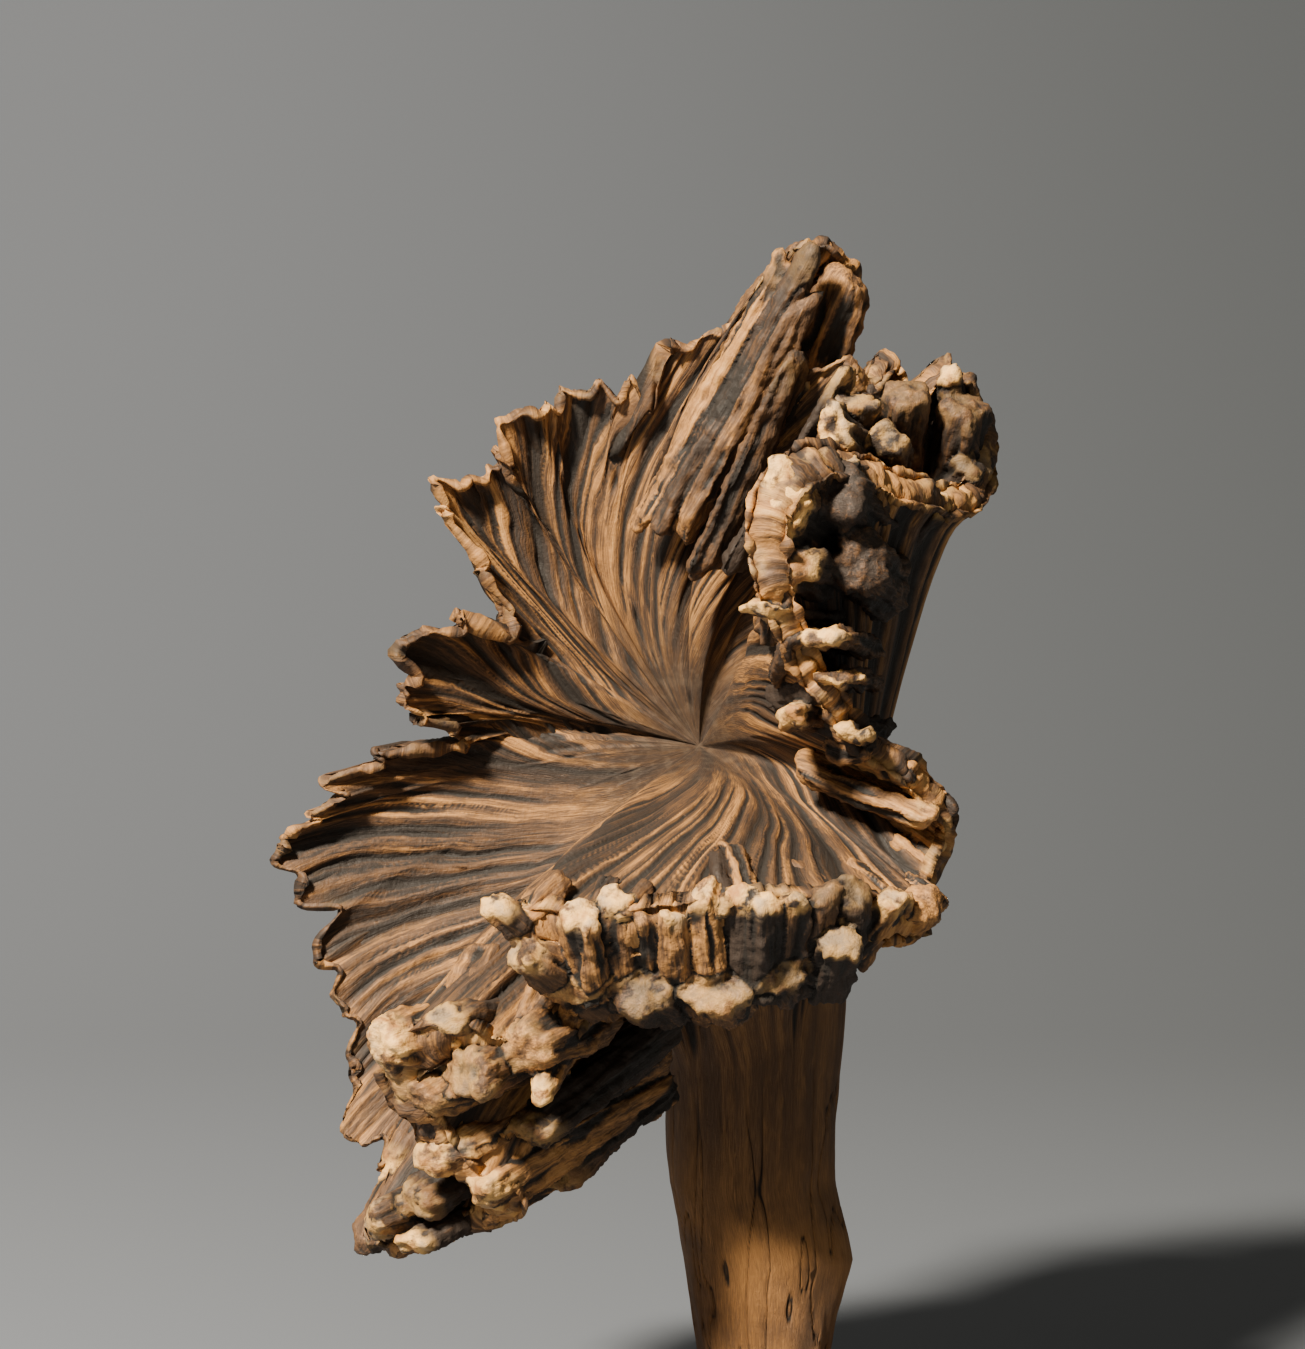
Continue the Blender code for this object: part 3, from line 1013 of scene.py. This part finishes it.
@dataclass
class RoseBody:
    """The rose with its root: one skin, moulded from a drum.

    Attributes:
        form: The form that it takes.
        share: How much of its triangles the thinned skin keeps.
    """

    form: RoseForm
    share: float = 0.295

    def build(self) -> bpy.types.Object:
        """Mould a drum into the rose.

        Returns:
            The rose.
        """
        skin = self.form.skin()
        rings, columns = skin.turn.shape
        piece = self.blank(rings, columns)
        start = read_points(piece)
        ring = np.rint((1.0 - start[:, 2]) / 2.0 * (rings - 1)).astype(int)
        column = np.rint(np.arctan2(start[:, 1], start[:, 0]) / (2 * np.pi) * columns).astype(int) % columns
        pole = np.hypot(start[:, 0], start[:, 1]) < 0.5
        place = skin.place[ring, column]
        place[pole] = skin.place[ring[pole]].mean(axis=1)
        move_points(piece, place)
        turn = skin.turn[ring, column] * 2.0 * np.pi
        along = skin.along[ring, column] * MM * GRAIN_ALONG
        give(piece, "grain", np.stack((np.cos(turn) * GRAIN_RADIUS, np.sin(turn) * GRAIN_RADIUS, along), -1))
        give(piece, "spread", skin.spread[ring, column] * MM)
        for name in ("furrow_shade", "reach", "tone", "pale"):
            give(piece, name, getattr(skin, name)[ring, column])
        piece.data.update()
        apply_modifier(piece, "DECIMATE", ratio=self.share)
        piece.data.shade_smooth()
        return piece

    def blank(self, rings: int, columns: int) -> bpy.types.Object:
        """Turn a plain drum with as many rings and columns as the skin, closed by a fan at each end.

        Args:
            rings: How many rings of points it has, from top to bottom.
            columns: How many points each ring has.

        Returns:
            The drum, of radius 1 and height 2.
        """
        start_fresh()
        bpy.ops.mesh.primitive_cylinder_add(vertices=columns, radius=1.0, depth=2.0, end_fill_type="TRIFAN")
        piece = bpy.context.object
        piece.name = piece.data.name = "rose"
        cuts = round(math.sqrt(rings - 1))
        for _ in range(2):
            bpy.ops.object.mode_set(mode="EDIT")
            bpy.ops.mesh.select_mode(type="EDGE")
            bpy.ops.mesh.select_all(action="DESELECT")
            bpy.ops.object.mode_set(mode="OBJECT")
            for edge in piece.data.edges:
                low, high = (piece.data.vertices[end].co.z for end in edge.vertices)
                edge.select = abs(low - high) > 1e-6
            bpy.ops.object.mode_set(mode="EDIT")
            bpy.ops.mesh.subdivide(number_cuts=cuts - 1)
            bpy.ops.object.mode_set(mode="OBJECT")
        return piece


class Stub(NamedTuple):
    """One broken end of the wood: where it starts and ends, its half sizes and how pale its end is."""

    start: Array
    end: Array
    side: Array
    half_width: float
    half_height: float
    pale: float


class Block(NamedTuple):
    """One large broken end, from its start to its end: right, forward and up from the heart.

    half_width and half_height are its half sizes, and pale is how freshly its end is broken, 0 to 1.
    """

    start: tuple[float, float, float]
    end: tuple[float, float, float]
    half_width: float
    half_height: float
    pale: float


@dataclass(frozen=True)
class Fringe:
    """A stretch of the rim whose wood has broken: large blocks, and small stubs between them.

    Attributes:
        name: What it is called.
        first: Its first lobe, counted from the spur.
        stop: The lobe that it stops at.
        rows: How many small stubs lie through the thickness of the rim.
        count: How many small stubs each row has.
        length: The longest small stub. The shortest is half of it.
        girth: The thickest small stub's half width. The thinnest's is half of it.
        jut: How far the longest small stub stands past the rim.
        pale: How many small stubs, from 0 to 1, end in pale wood.
        shade: How much lighter than the rest of the rose its wood is, -1 to 1.
        blocks: The large blocks.
    """

    name: str
    first: int
    stop: int
    rows: int
    count: int
    length: float
    girth: float
    jut: float
    pale: float
    shade: float
    blocks: tuple[Block, ...]


SPUR = Fringe(
    name="spur", first=0, stop=1, rows=1, count=4, length=70, girth=4, jut=0, pale=0.0, shade=-0.25,
    blocks=(
        Block((-16, 24, 66), (24, 50, 143), 4, 4, 0.1),
        Block((-10, 28, 66), (32, 54, 146), 5, 5, 0.1),
        Block((-6, 30, 64), (30, 52, 132), 5, 4, 0.0),
        Block((24, 24, 88), (43, 38, 139), 8, 8, 0.0),  # the smooth knob behind the ridges
    ),
)
CREST = Fringe(
    name="crest", first=1, stop=3, rows=1, count=6, length=28, girth=6, jut=2, pale=0.1, shade=-1.0,
    blocks=(
        Block((0, 36, 52), (27, 58, 114), 8, 3, 0.1),  # the two flat plates
        Block((10, 42, 54), (42, 62, 112), 7, 3, 0.5),
        Block((38, 36, 78), (44, 66, 103), 7, 5, 0.4),
        Block((48, 44, 84), (35, 84, 94), 5, 9, 1.0),
        Block((52, 38, 80), (52, 70, 91), 6, 6, 0.4),
        Block((56, 18, 78), (58, 48, 106), 8, 8, 0.1),
        Block((72, 14, 74), (76, 40, 102), 8, 9, 0.1),  # the ear, with its pale tip
        Block((74, 22, 98), (71, 40, 111), 4, 4, 1.0),
        Block((70, 12, 72), (78, 38, 84), 6, 5, 0.2),
    ),
)
FACE = Fringe(
    name="broken_face", first=3, stop=6, rows=1, count=8, length=36, girth=5, jut=1, pale=0.2, shade=-0.9,
    blocks=(
        Block((34, 60, 66), (20, 112, 74), 11, 13, 1.0),
        Block((38, 58, 52), (22, 110, 56), 9, 7, 0.6),
        Block((46, 54, 68), (36, 102, 78), 9, 11, 0.0),
        Block((52, 50, 50), (42, 96, 58), 8, 10, 0.0),
        Block((34, 60, 40), (15, 110, 45), 7, 3, 0.8),  # the chips under it
        Block((44, 56, 32), (30, 106, 38), 9, 3, 1.0),
        Block((46, 52, 22), (37, 100, 26), 7, 3, 1.0),
        Block((36, 50, 12), (23, 98, 15), 6, 4, 1.0),
        Block((50, 50, 8), (40, 94, 10), 6, 3, 0.8),
    ),
)
LIP = Fringe(
    name="front_lip", first=6, stop=9, rows=2, count=17, length=26, girth=4, jut=2, pale=0.35, shade=-0.4,
    blocks=(
        Block((28, 56, -2), (65, 74, -16), 8, 4, 0.5),  # the petal
        Block((-34, 96, -58), (-58, 117, -34), 5, 5, 0.9),
        Block((-28, 92, -64), (-50, 114, -47), 7, 6, 0.6),
        Block((-30, 100, -62), (-34, 120, -36), 6, 6, 1.0),
        Block((-22, 98, -62), (-25, 118, -32), 5, 5, 0.9),
        Block((-14, 98, -60), (-17, 118, -37), 4, 4, 0.1),
        Block((-7, 100, -62), (-9, 119, -36), 4, 4, 0.8),
        Block((3, 98, -64), (-1, 118, -30), 5, 5, 0.8),
        Block((14, 98, -64), (13, 118, -31), 8, 4, 1.0),
        Block((22, 94, -60), (25, 115, -32), 5, 4, 0.7),
        Block((30, 90, -58), (33, 110, -31), 5, 5, 0.1),
        Block((38, 86, -56), (41, 106, -31), 5, 5, 0.2),
        Block((34, 84, -62), (37, 108, -45), 6, 6, 0.4),
        Block((40, 72, -54), (53, 100, -34), 7, 6, 0.7),
        Block((50, 68, -46), (64, 90, -38), 6, 6, 0.0),
        Block((-26, 70, -66), (-36, 106, -56), 11, 7, 0.3),  # the crumbled underside
        Block((-10, 70, -68), (-18, 108, -60), 11, 7, 0.2),
        Block((6, 68, -68), (2, 108, -60), 11, 7, 0.3),
        Block((20, 64, -62), (20, 104, -56), 11, 7, 0.2),
    ),
)
LOWER_LOBE = Fringe(
    name="lower_lobe", first=9, stop=12, rows=1, count=14, length=46, girth=6, jut=2, pale=0.2, shade=-0.4,
    blocks=(
        Block((-60, 70, -72), (-89, 106, -76), 9, 9, 1.0),  # the lump
        Block((-48, 66, -68), (-74, 106, -69), 8, 6, 0.5),
        Block((-40, 64, -76), (-66, 106, -83), 10, 8, 0.3),
        Block((-28, 62, -70), (-50, 103, -77), 8, 8, 0.2),
        Block((-46, 60, -84), (-80, 99, -91), 9, 7, 0.2),
        Block((-34, 70, -74), (-46, 103, -89), 4, 5, 0.9),
        Block((-10, 36, -84), (-76, 91, -108), 8, 8, 0.7),  # the two rolls and the flap
        Block((-14, 34, -96), (-64, 86, -120), 9, 8, 0.7),
        Block((-8, 40, -78), (-50, 87, -103), 7, 6, 0.3),
        Block((-12, 34, -96), (-42, 60, -119), 8, 5, 0.3),
        Block((-58, 46, -118), (-95, 70, -131), 8, 7, 0.5),  # the toe
        Block((-56, 52, -126), (-84, 73, -137), 6, 4, 1.0),
        Block((-52, 48, -112), (-82, 75, -124), 7, 6, 0.3),
        Block((-34, 44, -116), (-62, 69, -127), 6, 5, 0.2),
    ),
)
FRINGES = (SPUR, CREST, FACE, LIP, LOWER_LOBE)


@dataclass
class Crust:
    """The broken stubs of one fringe, grown together into one piece.

    Attributes:
        form: The rose that they stand on.
        fringe: How they are laid out.
        cell: The grid, in millimetres, on which they are cast into one.
    """

    JITTER = 0.4           # how far a small stub strays along its row, in places
    LEAN = 0.16            # how far it leans off its flute
    SHIFT = 0.2            # how far it strays through the rim's thickness
    SUNK = 4.0             # how far the most sunken one ends below the rim
    BLUNT = 0.45           # how blunt a stub's ends are: 1 is round, 0 is flat
    TAPER = 0.10           # how much its girth falls from its middle to its far end
    UNEVEN = 0.26          # how much its girth varies
    SLANT = 0.12           # how far its ends lean, to each millimetre of its half length
    PAST_END = 8.0         # how fast distance grows past a stub's ends
    STRAND = (2.4, 2.4, 22.0)   # millimetres to each cell of the strands' relief, across and along
    STRAND_APART = 7.0     # cells between the relief of one stub and the next
    CRUMB = 3.4            # millimetres to each cell of the crumbled ends
    PIT = 5.0              # the same, of their pits
    GAP = 0.16             # a gap shows where two stubs are equally near, to this many half sizes

    form: RoseForm
    fringe: Fringe
    cell: float = 0.9

    def stubs(self) -> list[Stub]:
        """Lay the stubs out along the rim, each on the flute that it ends.

        Returns:
            The stubs, row by row through the rim.
        """
        fringe, form = self.fringe, self.form
        draw = np.random.default_rng(sum(map(ord, fringe.name)))
        laid = [self.place(block) for block in fringe.blocks]
        starts = np.cumsum([0] + [len(lobe.points) for lobe in LOBES])
        first, stop = starts[fringe.first], starts[fringe.stop]
        columns = np.flatnonzero((form.places >= first) & (form.places < stop))
        for row in range(fringe.rows):
            through = (row + 0.5) / fringe.rows
            for number in range(fringe.count):
                share = (number + 0.5 + draw.uniform(-self.JITTER, self.JITTER)) / fringe.count
                column = columns[int(share * (len(columns) - 1))]
                inner, outer = form.inside[column, -1], form.outside[column, -1]
                flute = unit(inner - form.inside[column, -1 - form.samples // 8])
                axis = unit(flute + draw.uniform(-self.LEAN, self.LEAN, 3))
                end = inner + (outer - inner) * (through + draw.uniform(-self.SHIFT, self.SHIFT))
                end = end + axis * draw.uniform(-self.SUNK, fringe.jut)
                start = end - axis * fringe.length * draw.uniform(0.5, 1.0)
                half = fringe.girth * draw.uniform(0.5, 1.0, 2)
                pale = float(draw.random() < fringe.pale) * draw.uniform(0.5, 1.0)
                laid.append(Stub(start, end, unit(np.cross(axis, outer - inner)), *half, pale))
        return laid

    def place(self, block: Block) -> Stub:
        """Stand one block on the rose, its width level.

        Args:
            block: The block.

        Returns:
            The stub that it makes.
        """
        heart = self.form.heart
        start, end = (heart + (right, -forward, up) for right, forward, up in (block.start, block.end))
        side = unit(np.cross(end - start, (0.0, 0.0, 1.0)))
        return Stub(start, end, side, block.half_width, block.half_height, block.pale)

    def build(self) -> bpy.types.Object:
        """Model one stub, copy it to every place, and cast all of them into one piece.

        Returns:
            The piece.
        """
        laid = self.stubs()
        start_fresh()
        bpy.ops.mesh.primitive_uv_sphere_add(segments=20, ring_count=16, radius=1.0)
        model = bpy.context.object
        copies = []
        for number, stub in enumerate(laid):
            copy = model.copy()
            copy.data = model.data.copy()
            bpy.context.scene.collection.objects.link(copy)
            self.shape(copy, stub, number)
            copies.append(copy)
        bpy.data.objects.remove(model)
        for copy in copies:
            copy.select_set(True)
        bpy.context.view_layer.objects.active = copies[0]
        bpy.ops.object.join()
        piece = bpy.context.object
        piece.name = piece.data.name = self.fringe.name
        cell = self.cell
        apply_modifier(piece, "REMESH", mode="VOXEL", voxel_size=cell * MM)
        self.roughen(piece, laid)
        piece.data.shade_smooth()
        return piece

    def shape(self, copy: bpy.types.Object, stub: Stub, number: int) -> None:
        """Draw a ball out into one uneven stub with a blunt end.

        Args:
            copy: The ball, of radius 1.
            stub: The stub that it becomes.
            number: Which stub it is, which makes it unlike the others.
        """
        ball = read_points(copy).astype(float)
        drawn = np.sign(ball[:, 2]) * np.abs(ball[:, 2]) ** self.BLUNT
        across = ball[:, :2] / np.maximum(np.linalg.norm(ball[:, :2], axis=1, keepdims=True), 1e-6)
        girth = (1.0 - np.abs(ball[:, 2]) ** 9) ** 0.5
        uneven = Grain(40 + number).layered(np.column_stack((across * 1.3, drawn * 1.1)), 2)
        girth = girth * (1.0 - self.TAPER * drawn + self.UNEVEN * uneven)
        axis = unit(stub.end - stub.start)
        reach = np.linalg.norm(stub.end - stub.start) / 2.0
        height = np.cross(stub.side, axis)
        tilt = across[:, 0] * math.sin(number * 2.4) + across[:, 1] * math.cos(number * 1.7)
        slant = 1.0 + self.SLANT * girth * tilt
        place = (stub.start + stub.end) / 2.0 + axis * (drawn * reach * slant)[:, None]
        place = place + stub.side * (across[:, 0] * girth * stub.half_width)[:, None]
        place = place + height * (across[:, 1] * girth * stub.half_height)[:, None]
        move_points(copy, place)
        copy.data.update()

    def roughen(self, piece: bpy.types.Object, laid: list[Stub]) -> None:
        """Carve strands, gaps and crumbled ends, and note what the finish needs at each point.

        Args:
            piece: The stubs, cast into one.
            laid: The stubs as they were laid out.
        """
        place = read_points(piece).astype(float) / MM
        normal = read_points(piece, "normal")
        best = np.full((len(place), 6), np.inf)
        second = np.full(len(place), np.inf)
        for number, stub in enumerate(laid):
            axis = unit(stub.end - stub.start)
            away = place - stub.start
            part = away @ axis / np.linalg.norm(stub.end - stub.start)
            wide = away @ stub.side
            high = away @ np.cross(stub.side, axis)
            past = np.maximum(0.0, np.abs(part - 0.5) - 0.5) * self.PAST_END
            far = np.hypot(wide / stub.half_width, high / stub.half_height) + past
            nearer = far < best[:, 0]
            second = np.where(nearer, best[:, 0], np.minimum(second, far))
            row = np.column_stack((far, part, wide, high, away @ axis, np.full(len(place), number)))
            best = np.where(nearer[:, None], row, best)
        _, part, wide, high, down, number = best.T
        number = number.astype(int)
        strand = np.column_stack((wide, high, down)) / self.STRAND
        strand[:, 2] += number * self.STRAND_APART
        ribs = Grain(51).layered(strand, 3)
        end = smooth_step(0.80, 0.97, part)
        crumbs = Grain(54).layered(place / self.CRUMB, 4)
        pits = smooth_step(0.3, 0.75, Grain(58).layered(place / self.PIT, 2)) * (0.1 + 0.35 * end)
        gap = 1.0 - smooth_step(0.0, self.GAP, second - best[:, 0])
        lift = 1.5 * ribs * (1.0 - 0.5 * end) + 0.6 * crumbs - 0.5 * gap - 0.5 * pits
        move_points(piece, place + normal * lift[:, None])
        draw = np.random.default_rng(9).uniform(-1.0, 1.0, len(laid))
        pale = np.array([stub.pale for stub in laid])[number] * end
        along = down * MM * GRAIN_ALONG + number * GRAIN_APART
        give(piece, "grain", np.column_stack((wide * MM, high * MM, along)))
        # Painted shade: the gaps between stubs, their pits and the hollows between ribs are painted dark.
        furrow_shade = 0.85 * gap + 0.75 * smooth_step(0.05, 0.5, -ribs) * (1.0 - 0.6 * end) + 0.8 * pits
        give(piece, "furrow_shade", np.clip(furrow_shade, 0.0, 1.0))
        give(piece, "spread", np.full(len(place), STUB_SPREAD))
        give(piece, "reach", np.ones(len(place)))
        give(piece, "tone", 0.7 * draw[number] + self.fringe.shade)
        give(piece, "pale", pale)
        piece.data.update()


@dataclass
class Stand:
    """The plain base and the two screws, which stay as the CAD has them."""

    def dress(self) -> None:
        """Give the CAD nodes their finishes."""
        finishes = {BASE_NODE: TurnedWood().make()}
        steel = BrightSteel().make()
        finishes.update({name: steel for name in SCREW_NODES})
        for name, finish in finishes.items():
            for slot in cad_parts[name].material_slots:
                slot.material = finish


@dataclass
class Studio:
    """A plain sweep, soft lights and the camera.

    Attributes:
        aim: What the camera looks at, in millimetres.
        distance: How far away it stands.
        pitch: How far down it looks, in degrees.
        lens: Focal length in millimetres, on a 36 mm sensor.
    """

    aim: tuple[float, float, float] = (-11.0, 20.0, 238.0)
    distance: float = 1250.0
    pitch: float = 3.0
    lens: float = 111.2

    def place_camera(self) -> None:
        """Stand the camera in front of the rose."""
        data = bpy.data.cameras.new("camera")
        data.lens = self.lens
        data.sensor_width = 36.0
        camera = bpy.data.objects.new("camera", data)
        bpy.context.scene.collection.objects.link(camera)
        down = math.radians(self.pitch)
        back = Vector((0.0, -math.cos(down), math.sin(down)))
        camera.location = (Vector(self.aim) + back * self.distance) * MM
        camera.rotation_euler = (math.pi / 2 - down, 0.0, 0.0)
        bpy.context.scene.camera = camera

    def build_sweep(self) -> None:
        """Make the floor that curves up into a wall."""
        start_fresh()
        bpy.ops.mesh.primitive_grid_add(x_subdivisions=2, y_subdivisions=96, size=10.0)
        sweep = bpy.context.object
        sweep.name = "sweep"
        bend, radius = 0.9, 1.6
        for vertex in sweep.data.vertices:
            past = max(0.0, vertex.co.y - bend)
            turned = min(past / radius, math.pi / 2)
            if past > 0.0:
                vertex.co.y = bend + radius * math.sin(turned)
                vertex.co.z = radius * (1.0 - math.cos(turned)) + max(0.0, past - radius * math.pi / 2)
        sweep.data.shade_smooth()
        sweep.data.materials.append(PaperWithPaintedShade().make())

    def light(self, name: str, place: Color, size: float, power: float, color: Color) -> None:
        """Hang one square soft light that faces the rose.

        Args:
            name: Its name.
            place: Where it hangs, in metres.
            size: Its side, in metres.
            power: Its power in watts.
            color: Its colour.
        """
        data = bpy.data.lights.new(name, "AREA")
        data.size = size
        data.energy = power
        data.color = color
        lamp = bpy.data.objects.new(name, data)
        lamp.location = place
        towards = Vector(self.aim) * MM - Vector(place)
        lamp.rotation_euler = towards.to_track_quat("-Z", "Y").to_euler()
        bpy.context.scene.collection.objects.link(lamp)

    def hang_lights(self) -> None:
        """Hang the key light high at the left, and let the room fill the rest."""
        self.light("key", (-1.0, -1.75, 1.75), 0.3, 275.0, (1.0, 0.90, 0.74))
        world = bpy.data.worlds.new("room")
        bpy.context.scene.world = world
        world.use_nodes = True
        background = world.node_tree.nodes["Background"]
        background.inputs["Color"].default_value = (0.60, 0.55, 0.45, 1.0)
        background.inputs["Strength"].default_value = 0.30


def main() -> None:
    """Build the studio, then each part of the object."""
    logging.basicConfig(level=logging.INFO, format="%(name)s: %(message)s")
    studio = Studio()
    studio.place_camera()
    studio.build_sweep()
    studio.hang_lights()
    corner = np.array(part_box(ROSE_NODE)[0]) / MM
    form = RoseForm(corner)
    finish = AgedWood().make()
    rose = RoseBody(form).build()
    dress_as_rose(rose, finish)
    log.info("rose: %d faces", len(rose.data.polygons))
    for fringe in FRINGES:
        piece = Crust(form, fringe).build()
        dress_as_rose(piece, finish)
        log.info("%s: %d faces", fringe.name, len(piece.data.polygons))
    Stand().dress()
    log.info("base and screws dressed")


if __name__ == "__main__":
    main()
